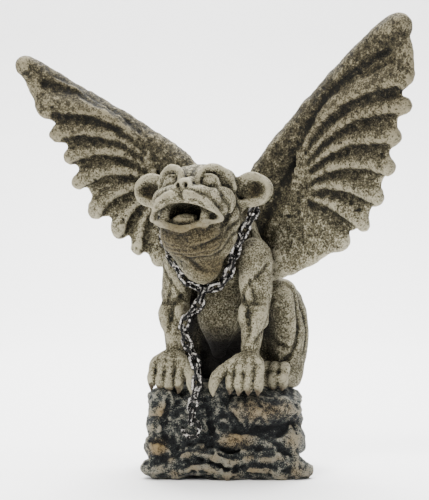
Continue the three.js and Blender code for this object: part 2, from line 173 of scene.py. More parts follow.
def trail(points, steps=5, flat=1.0):
    """A bent limb through these balls (x, y, z, radius)."""
    return chained(smooth_line(points, steps), flat)


def joined(a, b, blend):
    """The nearer of two distances, rounded where they meet."""
    near = np.maximum(blend - np.abs(a - b), 0) / blend
    return np.minimum(a, b) - near * near * blend / 4


def box_blur(field, reach):
    """The mean over a cube that reaches this many steps each way."""
    for axis in range(3):
        padding = [(reach + 1, reach) if a == axis else (0, 0) for a in range(3)]
        total = np.cumsum(np.pad(field, padding, mode="edge"), axis=axis, dtype=np.float32)
        count = field.shape[axis]
        width = 2 * reach + 1
        upper = np.take(total, np.arange(width, width + count), axis=axis)
        lower = np.take(total, np.arange(count), axis=axis)
        field = (upper - lower) / width
    return field


def lattice_noise(counts, cell, seed):
    """Smooth noise from -1 to 1 over a grid, with a new value every cell steps."""
    coarse = [int(n / cell) + 3 for n in counts]
    values = np.random.default_rng(seed).uniform(-1, 1, coarse).astype(np.float32)
    for axis, count in enumerate(counts):
        place = np.arange(count) / cell
        low = place.astype(int)
        form = [count if a == axis else 1 for a in range(3)]
        share = (place - low).astype(np.float32).reshape(form)
        share = share * share * (3 - 2 * share)
        values = np.take(values, low, axis) * (1 - share) + np.take(values, low + 1, axis) * share
    return values


def sample(field, places):
    """The field at places given in grid steps, between its points too."""
    places = np.clip(places, 0, np.array(field.shape) - 1.001)
    low = places.astype(int)
    share = places - low
    total = 0
    for corner in np.ndindex(2, 2, 2):
        weight = np.prod(np.where(corner, share, 1 - share), axis=-1)
        at = low + corner
        total = total + weight * field[at[..., 0], at[..., 1], at[..., 2]]
    return total


class Clay:
    """Stone as a grid of distances to its surface, in mm and below zero inside, worked as clay is."""

    FINE_STEPS = 2  # how far round a point the fine relief looks, in grid steps
    BROAD_REACH = 7  # and the broad relief, in mm
    FINE_RANGE = 0.8  # how far in mm a point stands out where its relief is full
    BROAD_RANGE = 1.8

    def __init__(self, low, high, step):
        self.low = np.array(low, float)
        self.step = step
        counts = np.ceil((np.array(high) - self.low) / step).astype(int) + 1
        self.field = np.full(counts, FAR, np.float32)

    def block(self, low, high):
        """The grid between two corners: its slices, and the places of its points."""
        first = np.clip(np.floor((low - self.low) / self.step).astype(int), 0, self.field.shape)
        last = np.clip(np.ceil((high - self.low) / self.step).astype(int) + 1, first, self.field.shape)
        axes = [
            (self.low[i] + self.step * np.arange(first[i], last[i])).astype(np.float32) for i in range(3)
        ]
        part = tuple(slice(a, b) for a, b in zip(first, last))
        return part, (axes[0][:, None, None], axes[1][None, :, None], axes[2][None, None, :])

    def tool(self, lumps, margin):
        """The distance to these lumps together, over the part of the grid that they reach."""
        low = np.min([lump[0] for lump in lumps], axis=0) - margin
        high = np.max([lump[1] for lump in lumps], axis=0) + margin
        part, _ = self.block(low, high)
        near = np.full([s.stop - s.start for s in part], FAR, np.float32)
        for lump_low, lump_high, distance in lumps:
            inner, places = self.block(lump_low - margin, lump_high + margin)
            own = tuple(slice(a.start - b.start, a.stop - b.start) for a, b in zip(inner, part))
            near[own] = np.minimum(near[own], distance(*places))
        return part, near

    def add(self, lumps, blend=4.0):
        part, near = self.tool(lumps, blend + 6)
        self.field[part] = joined(self.field[part], near, blend)

    def cut(self, lumps, blend=1.5):
        part, near = self.tool(lumps, blend + 2)
        self.field[part] = -joined(-self.field[part], near, blend)

    def settled(self, points):
        """Points moved onto the surface, straight along its slope."""
        points = np.array(points, float)
        for _ in range(4):
            steps = (points - self.low) / self.step
            slope = np.stack([
                sample(self.field, steps + one) - sample(self.field, steps - one) for one in np.eye(3)
            ], axis=1)
            length = np.maximum(np.linalg.norm(slope, axis=1), 1e-3)
            height = np.clip(sample(self.field, steps), -4, 4)
            points -= (slope / length[:, None]) * height[:, None] * 0.9
        return points

    def surface_line(self, points, radius):
        """A smooth line on the surface through these points, as balls that fade towards both ends."""
        line = self.settled(smooth_line(points, 5))
        fade = 0.35 + 0.65 * np.sin(np.linspace(0, math.pi, len(line))) ** 0.6
        return chained(np.column_stack([line, radius * fade]))

    def crease(self, points, radius, blend=2.0):
        self.cut(self.surface_line(points, radius), blend)

    def swell(self, height):
        """Moves the whole surface outwards."""
        self.field -= height

    def soften(self, reach, passes):
        for _ in range(passes):
            self.field = box_blur(self.field, reach)

    def roughen(self, cell, height, seed):
        """Uneven hand-worked stone: hills and hollows about cell mm across."""
        self.field -= height * lattice_noise(self.field.shape, cell / self.step, seed)

    def pit(self, cell, depth, share, seed):
        """Small pits, in this share of the surface."""
        noise = lattice_noise(self.field.shape, cell / self.step, seed)
        self.field += depth * np.clip((noise - 1 + 2 * share) / (2 * share), 0, 1)

    def mesh(self, name, place, marks):
        """The surface in metres. Each point keeps how raised it is, finely and broadly, and its marks."""
        grid = vdb.FloatGrid(FAR)
        grid.copyFromArray(self.field)
        points, _, quads = grid.convertToPolygons(isovalue=0.0, adaptivity=0.0)
        near = np.clip(self.field, -6, 6)
        own = self.low + points * self.step
        values = {
            "relief_fine": np.clip(sample(box_blur(near, self.FINE_STEPS), points) / self.FINE_RANGE, -1, 1),
            "relief_broad": np.clip(
                sample(box_blur(near, round(self.BROAD_REACH / self.step)), points) / self.BROAD_RANGE, -1, 1
            ),
        }
        values.update({mark: paint(own) for mark, paint in marks.items()})
        made = bpy.data.meshes.new(name)
        made.vertices.add(len(points))
        made.vertices.foreach_set("co", (place(own) / 1000).astype(np.float32).ravel())
        made.loops.add(quads.size)
        made.loops.foreach_set("vertex_index", quads.astype(np.int32).ravel())
        made.polygons.add(len(quads))
        made.polygons.foreach_set("loop_start", np.arange(0, quads.size, 4, dtype=np.int32))
        made.polygons.foreach_set("use_smooth", np.ones(len(quads), bool))
        made.update(calc_edges=True)
        for key, value in values.items():
            made.attributes.new(key, "FLOAT", "POINT").data.foreach_set("value", value.astype(np.float32))
        return in_scene(name, made)


def cast_from(node, step, turn=lambda p: p):
    """A construction node as clay, in the frame that turn gives."""
    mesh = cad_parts[node].data
    points = np.empty(len(mesh.vertices) * 3, np.float32)
    mesh.vertices.foreach_get("co", points)
    points = turn(points.reshape(-1, 3) * 1000.0)
    corners = np.empty(len(mesh.loops), np.int32)
    mesh.loops.foreach_get("vertex_index", corners)
    clay = Clay(points.min(0) - FAR, points.max(0) + FAR, step)
    steps = ((points - clay.low) / step).astype(np.float32)
    grid = vdb.FloatGrid.createLevelSetFromPolygons(
        steps, triangles=corners.reshape(-1, 3).astype(np.uint32), halfWidth=FAR / step
    )
    grid.copyToArray(clay.field)
    clay.field *= step
    return clay


def put(tree, kind, settings=None, **inputs):
    """A shader node. Its inputs are numbers or other nodes' sockets, named as on the node, _ for a space."""
    made = tree.nodes.new(kind)
    for key, value in (settings or {}).items():
        setattr(made, key, value)
    for key, value in inputs.items():
        numbered = key.startswith("in") and key[2:].isdigit()
        socket = made.inputs[int(key[2:]) if numbered else key.replace("_", " ")]
        if isinstance(value, bpy.types.NodeSocket):
            tree.links.new(value, socket)
        else:
            socket.default_value = value
    return made


def maths(tree, way, *terms):
    """The result of one calculation on sockets and numbers."""
    inputs = {f"in{i}": term for i, term in enumerate(terms)}
    return put(tree, "ShaderNodeMath", {"operation": way}, **inputs).outputs[0]


def sum_of(tree, *terms):
    """Socket times weight, added up."""
    total = 0.0
    for socket, weight in terms:
        total = maths(tree, "MULTIPLY_ADD", socket, weight, total)
    return total


def stored(tree, name):
    """A number kept on the mesh's points."""
    return put(tree, "ShaderNodeAttribute", {"attribute_name": name}).outputs["Fac"]


def ramp(tree, value, stops):
    """Colours, or greys, by value."""
    made = put(tree, "ShaderNodeValToRGB", Fac=value)
    line = made.color_ramp
    while len(line.elements) < len(stops):
        line.elements.new(0.5)
    for element, (place, colour) in zip(line.elements, stops):
        element.position = place
        element.color = (*colour, 1) if isinstance(colour, tuple) else (colour, colour, colour, 1)
    return made.outputs["Color"]


def new_group(name, vectors, numbers, results):
    """A shader node group with these inputs and number outputs. Gives the group and its inputs' sockets."""
    group = bpy.data.node_groups.new(name, "ShaderNodeTree")
    for socket in vectors:
        group.interface.new_socket(socket, in_out="INPUT", socket_type="NodeSocketVector")
    for socket in numbers:
        group.interface.new_socket(socket, in_out="INPUT", socket_type="NodeSocketFloat")
    for socket in results:
        group.interface.new_socket(socket, in_out="OUTPUT", socket_type="NodeSocketFloat")
    return group, put(group, "NodeGroupInput").outputs


def noise(tree, vector, scale, detail, roughness, distortion=0.0):
    """Smooth noise from 0 to 1."""
    made = put(tree, "ShaderNodeTexNoise", Vector=vector, Scale=scale, Detail=detail, Roughness=roughness,
               Distortion=distortion)
    return made.outputs["Fac"]


def stone_grain_group():
    """The grain of cast stone: fine speckle, small pits, slow mottling, and the height of the first two."""
    group, given = new_group(
        "stone_grain", ["Vector"], ["Grain Scale", "Pit Scale"], ["Speckle", "Pits", "Mottling", "Height"]
    )
    fine = noise(group, given["Vector"], given["Grain Scale"], 2.0, 0.75)
    hole = noise(group, given["Vector"], given["Pit Scale"], 2.0, 0.6)
    slow = noise(group, given["Vector"], 30.0, 2.0, 0.5)
    pits = put(group, "ShaderNodeMapRange", Value=hole, in1=0.58, in2=0.66).outputs["Result"]
    height = sum_of(group, (fine, 0.6), (pits, -0.8))
    put(group, "NodeGroupOutput", Speckle=fine, Pits=pits, Mottling=slow, Height=height)
    return group


PLAIN_TOTAL = 1.66  # about what the terms below add up to on flat stone of middling grain


def relief_group():
    """One number for how light a point is painted, from its raised or hollow shape and from its grain: real
    wear and wash, with painted shade in its hollows and painted highlight on its crests.
    """
    group, given = new_group(
        "relief_wear_and_shade", [],
        ["Fine", "Broad", "Speckle", "Pits", "Mottling", "Middle", "Contrast", "Shape"], ["Wear"],
    )
    # the shape term: hollows go darker as painted shade, crests lighter as painted highlight
    form = sum_of(group, (given["Fine"], 0.42), (given["Broad"], 0.18))
    shaped = maths(group, "MULTIPLY", form, given["Shape"])
    total = sum_of(
        group, (shaped, 1.0), (given["Speckle"], 3.0), (given["Pits"], -0.22), (given["Mottling"], 0.35)
    )
    centred = maths(group, "SUBTRACT", total, PLAIN_TOTAL)
    wear = maths(group, "MULTIPLY_ADD", centred, given["Contrast"], given["Middle"])
    put(group, "NodeGroupOutput", Wear=wear)
    return group


STONE_GRAIN = stone_grain_group()
RELIEF_WEAR_AND_SHADE = relief_group()


def relief_material(name, grain_scale, pit_scale, middle, contrast, shape, bump, roughness):
    """A material with the grain and the relief in place. Gives its tree, shader, the number for its wear and
    painted shade, and its vector.
    """
    material = bpy.data.materials.new(name)
    material.use_nodes = True
    tree = material.node_tree
    shader = tree.nodes["Principled BSDF"]
    shader.inputs["Roughness"].default_value = roughness
    shader.inputs["Specular IOR Level"].default_value = 0.25
    vector = put(tree, "ShaderNodeTexCoord").outputs["Object"]
    grain = put(tree, "ShaderNodeGroup", {"node_tree": STONE_GRAIN}, Vector=vector, Grain_Scale=grain_scale,
                Pit_Scale=pit_scale)
    fine = stored(tree, "relief_fine")
    broad = stored(tree, "relief_broad")
    wear = put(tree, "ShaderNodeGroup", {"node_tree": RELIEF_WEAR_AND_SHADE}, Fine=fine, Broad=broad,
               Speckle=grain.outputs["Speckle"], Pits=grain.outputs["Pits"],
               Mottling=grain.outputs["Mottling"], Middle=middle, Contrast=contrast, Shape=shape)
    raised = put(tree, "ShaderNodeBump", Strength=1.0, Distance=bump, Height=grain.outputs["Height"])
    tree.links.new(raised.outputs["Normal"], shader.inputs["Normal"])
    return material, tree, shader, wear.outputs["Wear"], vector


def marked(tree, wear, mark, vector, scale, lowest, highest):
    """Where a painted mark shows: the mark, broken up by noise and by the wear and painted shade."""
    spread = stored(tree, mark)
    broken = noise(tree, vector, scale, 4.0, 0.7)
    total = sum_of(tree, (spread, 1.0), (broken, 0.9), (wear, 0.35))
    return put(tree, "ShaderNodeMapRange", Value=total, in1=lowest, in2=highest).outputs["Result"]


def tinted(tree, fac, colour, tint, way="MIX"):
    """One colour laid over another."""
    made = put(tree, "ShaderNodeMix", {"data_type": "RGBA", "blend_type": way}, Factor=fac)
    for socket, value in ((made.inputs[6], colour), (made.inputs[7], tint)):
        if isinstance(value, bpy.types.NodeSocket):
            tree.links.new(value, socket)
        else:
            socket.default_value = (*value, 1)
    return made.outputs[2]


def rock_paint():
    """Charcoal paint, brushed with pale grey, and with ochre where the mesh is marked."""
    material, tree, shader, wear, vector = relief_material(
        "rock_paint", grain_scale=800.0, pit_scale=300.0, middle=0.50, contrast=0.8, shape=1.5, bump=0.0030,
        roughness=0.75,
    )
    strokes = noise(tree, vector, 200.0, 4.0, 0.75, distortion=2.6)
    # the relief number under the pale grey brushing also darkens the hollows as painted shade and lightens
    # the crests as painted highlight
    brushed = sum_of(tree, (wear, 1.0), (strokes, 1.4))
    value = maths(tree, "SUBTRACT", brushed, 0.70)
    colour = ramp(tree, value, [
        (0.05, (0.002, 0.0025, 0.003)), (0.35, (0.007, 0.009, 0.010)), (0.55, (0.022, 0.025, 0.024)),
        (0.78, (0.058, 0.062, 0.054)), (1.0, (0.20, 0.19, 0.15)),
    ])
    earth = ramp(tree, value, [
        (0.05, (0.004, 0.003, 0.002)), (0.35, (0.018, 0.013, 0.006)), (0.60, (0.060, 0.041, 0.017)),
        (1.0, (0.21, 0.15, 0.072)),
    ])
    shown = marked(tree, wear, "ochre", vector, 75.0, 0.95, 1.7)
    tree.links.new(tinted(tree, shown, colour, earth), shader.inputs["Base Color"])
    return material


ROCK_STEP = 1.25
ROCK_CORE = 5.0  # how deep the core lies under the construction model's surface, before boulders are added
CRACK_WIDTH = 1.25  # times the radius given with each crack
FOLD_CELL = 15.0
FOLD_HEIGHT = 1.2
SKIN = 0.3  # added to make up for what softening takes off thin pieces
GAP = 0.3  # left between two pieces of stone where they meet
# boulders and ledges that show at the front and at the sides: centre, radii, and how ochre they are
BOULDERS = [
    ((32, -50, 62), (37, 17, 14), 0.75),
    ((56, -12, 68), (17, 30, 10), 0.0),
    ((-55, -42, 71), (16, 18, 11), 0.0),
    ((-58, -50, 61), (12, 13, 11), 0.6),
    ((-59, -50, 45), (11, 12, 8), 0.3),
    ((-60, -52, 29), (11, 12, 10), 1.0),
    ((-32, -49, 42), (18, 11, 17), 0.1),
    ((10, -54, 35), (24, 11, 11), 0.85),
    ((44, -52, 33), (20, 12, 13), 0.2),
    ((60, -46, 34), (12, 14, 15), 0.5),
    ((-60, -54, 10), (17, 13, 10), 0.3),
    ((20, -58, 7), (46, 8, 8), 0.1),
    ((64, -54, 8), (14, 11, 9), 0.6),
    ((63, -18, 50), (9, 26, 14), 0.6),
    ((69, 14, 26), (9, 28, 12), 0.3),
    ((-64, -14, 44), (9, 24, 13), 0.6),
    ((-64, 20, 62), (9, 22, 11), 0.3),
    ((-68, 12, 20), (8, 30, 10), 0.7),
    ((-34, 56, 58), (28, 10, 13), 0.5),
    ((28, 57, 50), (32, 10, 14), 0.3),
    ((-12, 60, 26), (40, 8, 11), 0.8),
    ((50, 58, 18), (22, 9, 10), 0.5),
]
# wavy ledges near the foot: balls along a line
LEDGES = [
    [(-48, -58, 18, 6), (-34, -62, 23, 6), (-22, -63, 26, 6), (-8, -64, 21, 6), (6, -64, 17, 6),
     (22, -63, 20, 6), (36, -63, 19, 6), (48, -61, 20, 6), (62, -57, 14, 6), (72, -52, 5, 6)],
    [(-44, -62, 6, 5), (-28, -65, 11, 5), (-12, -66, 9, 5), (2, -66, 4, 5)],
    [(8, -66, 5, 4), (24, -66, 10, 5), (38, -65, 9, 5), (54, -62, 4, 5)],
]
# cracks that part the boulders: points and a radius
CRACKS = [
    ([(-20, -68, 68), (-12, -70, 59), (6, -71, 50), (22, -71, 46), (37, -70, 44), (52, -68, 46),
      (68, -58, 52)], 3.4),
    ([(-14, -70, 62), (-13, -70, 48), (-14, -70, 36), (-10, -70, 27)], 3.0),
    ([(-49, -69, 76), (-47, -70, 60), (-50, -69, 44), (-46, -70, 30)], 2.8),
    ([(-76, -56, 54), (-62, -66, 54), (-50, -69, 52)], 1.8),
    ([(-76, -58, 37), (-62, -67, 37), (-50, -70, 36)], 2.0),
    ([(-76, -60, 19), (-62, -68, 19), (-46, -70, 26), (-34, -70, 31), (-18, -71, 31),
      (-4, -71, 25)], 2.4),
    ([(-4, -71, 25), (12, -71, 24), (28, -70, 26), (44, -70, 25)], 2.2),
    ([(37, -70, 44), (45, -70, 37), (53, -69, 29), (66, -62, 21)], 2.2),
    ([(-40, -71, 13), (-24, -72, 18), (-8, -72, 15), (6, -72, 10), (24, -72, 14), (42, -70, 13),
      (58, -67, 9)], 1.8),
    ([(-40, -71, 1), (-22, -73, 4), (-4, -73, 0), (10, -73, 0), (24, -73, 4), (44, -70, 1)], 1.5),
    ([(68, -60, 72), (68, -62, 50), (65, -65, 36), (68, -62, 20)], 1.8),
]

rock = cast_from("rock_base", ROCK_STEP)
rock.soften(1, 2)
rock.swell(-ROCK_CORE)
for centre, radii, _ in BOULDERS:
    rock.add(mass(centre, radii), blend=5.0)
for line in LEDGES:
    rock.add(trail(line, steps=4), blend=4.0)
for line, radius in CRACKS:
    rock.crease(line, radius * CRACK_WIDTH, blend=3)

# hills, folds and chisel marks all over, cut flat underneath
height_of = (rock.low[2] + rock.step * np.arange(rock.field.shape[2]))[None, None, :].astype(np.float32)
rock.roughen(22.0, 1.4, 3)
folds = 1 - np.abs(lattice_noise(rock.field.shape, FOLD_CELL / rock.step, 5)) * 2
rock.field -= FOLD_HEIGHT * folds * folds * folds
rock.roughen(9.0, 0.9, 4)
rock.roughen(4.3, 0.9, 6)
rock.roughen(2.6, 0.7, 7)
rock.field = np.maximum(rock.field, -height_of)


def rock_ochre(points):
    """Ochre paint on the crowns of some boulders."""
    paint = np.zeros(len(points))
    for centre, radii, strength in BOULDERS:
        near = np.linalg.norm((points - np.array(centre)) / (np.array(radii) * (0.8, 2.0, 0.8)), axis=1)
        paint = np.maximum(paint, strength * np.clip(1.5 - near, 0, 1))
    for line in LEDGES:
        crest = np.min([np.linalg.norm((points - p[:3]) / (9, 12, 5), axis=1) for p in line], axis=0)
        paint = np.maximum(paint, 0.45 * np.clip(1.5 - crest, 0, 1))
    return paint


rock_piece = rock.mesh("rock", lambda p: p, {"ochre": rock_ochre})
rock_piece.data.materials.append(rock_paint())
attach(rock_piece, "root")
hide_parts("rock_base")

# ---- gargoyle ----
# The crouching figure is one casting of pale stone: torso, head, arms planted in front and haunches folded
# behind. Its masses are set on a centre line that is turned to one side of the rock, then muscles, face,
# hands and feet are added, creases are cut, and the whole surface is roughened and pitted.

TURN = math.radians(20)
SHIFT = np.array([3.0, 0.0, -10.0])
FIGURE_STEP = 1.43
FIGURE_LOW = (-92, -118, 80)
FIGURE_HIGH = (86, 78, 312)
SIDES = (-1, 1)


def to_world(points):
    """From the figure's own frame to the statue's."""
    x, y, z = points.T
    across = x * math.cos(TURN) + y * math.sin(TURN)
    along = y * math.cos(TURN) - x * math.sin(TURN)
    return np.stack([across, along, z], 1) + SHIFT


def to_figure(points):
    """From the statue's frame to the figure's own."""
    x, y, z = (points - SHIFT).T
    across = x * math.cos(TURN) - y * math.sin(TURN)
    along = x * math.sin(TURN) + y * math.cos(TURN)
    return np.stack([across, along, z], 1)


def beside(x, side, rows):
    """These balls or points, with their first number counted out from x to this side."""
    return [(x + side * out, *rest) for out, *rest in rows]


figure = Clay(FIGURE_LOW, FIGURE_HIGH, FIGURE_STEP)


def add_torso(clay):
    x = -3
    for lumps in (
        mass((x, 36, 128), (37, 31, 31)),
        bone((x, 40, 140, 31), (x, 34, 182, 30)),
        bone((x, 34, 182, 30), (x, 14, 214, 32)),
        mass((x, -8, 205), (32, 26, 31)),
        mass((x - 1, -3, 165), (24, 26, 32)),
        bone((x - 3, -8, 150, 17), (x - 4, -6, 122, 7)),
        bone((x, 0, 226, 28), (x - 3, -32, 246, 28)),
        bone((x - 26, 16, 104, 17), (x + 26, 16, 104, 17)),
    ):
        clay.add(lumps, blend=9)
    for side in SIDES:
        clay.add(mass((x + side * 15, -26, 203), (14, 9, 15)), blend=7)  # breast
        clay.add(mass((x + side * 18, 24, 226), (15, 12, 20)), blend=8)  # shoulder blade
    for i in range(7):  # backbone
        clay.add(mass((x, 47 + 17 * math.sin(i * 0.52), 232 - i * 15), (5, 5, 5.5)), blend=6)


def add_arm(clay, side):
    x = -1 + side * 38
    clay.add(mass((x - side * 2, -23, 206), (16, 20, 23)), blend=4)
    clay.add(bone((x, -26, 200, 15), (x, -31, 168, 12)), blend=5)
    clay.add(mass((x - side * 3, -38, 187), (9, 8.5, 17), 0.1), blend=3)  # biceps
    clay.add(mass((x + side * 9, -27, 182), (7, 9, 17)), blend=3)  # triceps
    clay.add(bone((x + side * 2, -28, 164, 11), (x + side * 3, -27, 152, 9)), blend=4)
    clay.add(bone((x, -33, 160, 12), (x + 3 - side * 2, -45, 127, 8.5)), blend=4)
    clay.add(trail([
        (x + side * 9, -33, 170, 5), (x + side * 7, -41, 155, 7.5), (x + 3, -48, 132, 5),
    ]), blend=2.5)
    clay.add(mass((x - side * 6, -40, 156), (6, 7, 13), 0.3), blend=2.5)
    clay.add(mass((x + 3, -55, 114), (14, 13, 9), 0.5), blend=6)
    for radius, line in (
        (1.4, [(14, -34, 204), (8, -43, 193), (0, -46, 186), (-8, -46, 176), (-14, -38, 170)]),
        (1.2, [(13, -38, 168), (4, -46, 169), (-5, -47, 170), (-12, -42, 174)]),
        (1.1, [(3, -49, 190), (5, -48, 180), (6, -46, 171)]),
        (1.1, [(1, -50, 166), (-1, -52, 154), (1, -54, 140)]),
        (1.2, [(12, -36, 152), (9, -44, 143), (6, -50, 133)]),
    ):
        clay.crease(beside(x, side, line), radius, blend=3.5)


def add_leg(clay, side):
    x = -2
    for lumps in (
        bone((x + side * 24, 36, 126, 24), (x + side * 49, 14, 170, 18)),
        bone((x + side * 52, 9, 176, 14), (x + side * 52, 17, 116, 11)),
        mass((x + side * 55, 30, 137), (17, 23, 45)),
        bone((x + side * 54, 28, 98, 13), (x + side * 48, 2, 102, 10)),
    ):
        clay.add(lumps, blend=7)
    clay.add(mass((x + side * 58, 3, 178), (8, 8, 10)), blend=5)  # knee cap
    clay.add(mass((x + side * 59, 8, 150), (7, 7, 20)), blend=5)  # shin
    # folds where the calf is pressed against the thigh, and round the heel
    for line in (
        [(60, -2, 186), (68, 6, 172), (71, 12, 150), (68, 10, 128), (60, 4, 112)],
        [(66, 12, 176), (72, 22, 160), (74, 26, 140), (71, 24, 120)],
        [(44, -4, 132), (54, -4, 127), (64, 2, 124)],
        [(44, -6, 117), (55, -5, 115), (66, 4, 117)],
    ):
        clay.crease(beside(x, side, line), 1.7, blend=3.5)


nails = []


def add_digits(clay, middle, spread, root, knuckle, tip, claw, thickness):
    """Four fingers or toes, each with a swollen knuckle and joint and a blunt claw."""
    for i in range(4):
        off = i - 1.5
        x = middle + off * spread
        back = abs(off) * 1.5
        own = thickness * (1 - 0.04 * abs(off))
        drop = 2.4 - 1.6 * abs(off) + 1.2 * math.sin(5.0 * off + middle)
        half_y = (knuckle[0] + tip[0]) / 2
        half_z = (knuckle[1] + tip[1]) / 2
        clay.add(trail([
            (x - off * spread * 0.4, root[0] + back, root[1], own * 0.8),
            (x - off * 0.8, knuckle[0] + back, knuckle[1] + 1, own * 1.12),
            (x, half_y + back - 1, half_z, own * 0.92),
            (x, tip[0] + back - 0.8, tip[1] + 1 - drop, own * 1.06),
            (x, tip[0] + back - 0.6, tip[1] - 4 - drop, own * 0.86),
        ], steps=4), blend=1.4)
        nail = bone(
            (x, tip[0] + back - 1.2, tip[1] - 4.5 - drop, own * 0.66),
            (x, claw[0] + back, claw[1] + 2 - drop, 1.6),
        )
        clay.add(nail, blend=0.8)
        nails.extend(nail)


def add_hand(clay, side):
    x = 1 + side * 38
    add_digits(clay, x, 8.8, (-55, 114), (-62, 112), (-67, 98), (-69, 87), 4.7)
    clay.add(mass((x, -52, 101), (14, 9, 9)), blend=3)  # palm
    for i in range(4):  # tendons
        off = i - 1.5
        clay.add(bone((x + off * 2.4, -49, 124, 1.8), (x + off * 7.6, -61, 117, 3.0)), blend=3)
    clay.add(trail(beside(x, side, [
        (-10, -54, 117, 6.2), (-19, -61, 111, 5.2), (-25.5, -66, 104, 5.6), (-27.5, -69, 98, 4.8),
    ])), blend=3)
    clay.add(trail(beside(x, side, [
        (-27, -69, 99, 4.9), (-28, -71, 93, 3.6), (-28, -70, 86, 1.2),
    ])), blend=0.8)


def add_foot(clay, side):
    x = -2 + side * 48
    add_digits(clay, x, 9.2, (2, 106), (-10, 107), (-18, 97), (-22, 87), 5.5)


def add_head(clay):
    x = -8
    for lumps in (
        mass((x, -46, 268), (36, 33, 28)),
        mass((x, -63, 233), (33, 34, 27)),
        mass((x + 2, -54, 208), (19, 20, 22)),
        mass((x, -78, 262), (30, 24, 13)),
    ):
        clay.add(lumps, blend=8)
    for side in SIDES:
        clay.add(trail(beside(x, side, [
            (25, -50, 262, 13), (25, -52, 246, 13), (20, -54, 228, 13), (12, -56, 212, 10),
        ])), blend=8)  # jowl
        clay.add(mass((x + side * 20, -58, 282), (15, 14, 10)), blend=6)  # forehead
        clay.cut(mass((x + side * 18.5, -85, 279.5), (10, 11, 9)), blend=2)  # socket
        clay.add(trail(beside(x, side, [
            (8.5, -82, 274, 2.4), (8.5, -78, 282, 3.4), (13, -74, 288.5, 4.0), (21, -71, 290.5, 4.2),
            (28.5, -67, 286.5, 4.0), (33, -63, 280, 3.6), (35, -60, 273, 2.8),
        ])), blend=2.5)  # brow
        clay.add(mass((x + side * 17.5, -75.5, 277), (6.9, 6.9, 6.9)), blend=0.5)  # eyeball
        add_lids(clay, x + side * 17.5)
        clay.add(trail(beside(x, side, [
            (9, -87, 268.5, 3.4), (16, -84, 266, 4.6), (25, -77, 265.5, 6.0), (31, -67, 266, 5.6),
        ])), blend=8)  # cheek bone
        clay.add(mass((x + side * 27, -71, 259), (11, 13, 11)), blend=8)  # cheek
        clay.add(mass((x + side * 18, -88, 262), (12, 12, 8)), blend=7)
        clay.add(trail(beside(x, side, [
            (1.5, -99, 266.5, 4.0), (8, -102, 266.5, 5.8), (17, -99.5, 261.5, 5.0), (26, -93, 253.5, 3.6),
            (33, -86, 245.5, 2.4),
        ])), blend=5)  # muzzle and upper lip
        clay.add(mass((x + side * 12, -93, 268), (10, 9, 6)), blend=5)


def add_lids(clay, x):
    """Thin rolled lids that ring the eyeball."""
    for start, end, radius, drop in ((0.0, 1.0, 1.25, 1.0), (1.04, 1.96, 1.1, 0.8)):
        line = []
        for i in range(7):
            turn = math.pi * (start + (end - start) * i / 6)
            out = 8.6 * math.cos(turn)
            line.append((x + out, -79.5 + abs(out) * 0.5, 276.5 + 8.2 * math.sin(turn) * drop, radius))
        clay.add(trail(line, steps=3), blend=0.6)


def add_nose(clay):
    x = -6.4
    clay.add(bone((x, -80, 279, 4.6), (x, -96, 273.5, 4.8)), blend=3)
    clay.add(mass((x + 0.5, -97.5, 275.2), (7.2, 6.5, 5.6)), blend=2)
    for side in SIDES:
        clay.add(mass((x + side * 4.8, -99, 272.6), (4.0, 5.0, 4.8)), blend=1.2)
        clay.cut(mass((x + side * 3.9, -105, 274.0), (1.9, 6.5, 2.7)), blend=0.4)
    clay.crease([(x, -104, 268), (x, -105, 265), (x, -106, 262), (x, -106, 258)], 2.3, blend=2)  # cleft


def add_mouth(clay):
    x = -8
    clay.add(trail([
        (x - 34, -84, 244, 1.8), (x - 27, -92, 241.8, 2.2), (x - 16, -99, 239, 2.7),
        (x, -102.5, 235.5, 3.4), (x + 14, -100, 239, 2.7), (x + 25, -94, 241.8, 2.2),
        (x + 33, -85, 243.5, 1.8),
    ]), blend=3)  # lower lip
    clay.cut(mass((x, -103, 249.5), (22, 24, 8.8), 0.12), blend=1.5)
    clay.cut(bone((x + 0.8, -104, 254, 6.5), (x + 0.8, -107, 261.5, 3.4)), blend=1)
    clay.cut(mass((x, -86, 249.5), (17, 16, 9.5)), blend=1.5)
    for side in SIDES:
        clay.cut(trail(beside(x, side, [
            (12, -95, 249.5, 7.5), (23, -92, 248.0, 4.8), (31, -91, 245.8, 1.6),
        ])), blend=1.2)
        clay.add(trail(beside(x, side, [
            (20, -84, 259, 4.8), (19, -89, 251, 4.0), (19, -93, 241, 4.8),
        ])), blend=3)  # eye tooth with its gum
    clay.add(mass((x - 1, -86, 244.5), (12, 12, 4.6), 0.12), blend=0.8)  # tongue
    clay.crease([(x - 10, -94, 248), (x - 1, -97, 248.3), (x + 8, -94, 248)], 0.8, blend=1)


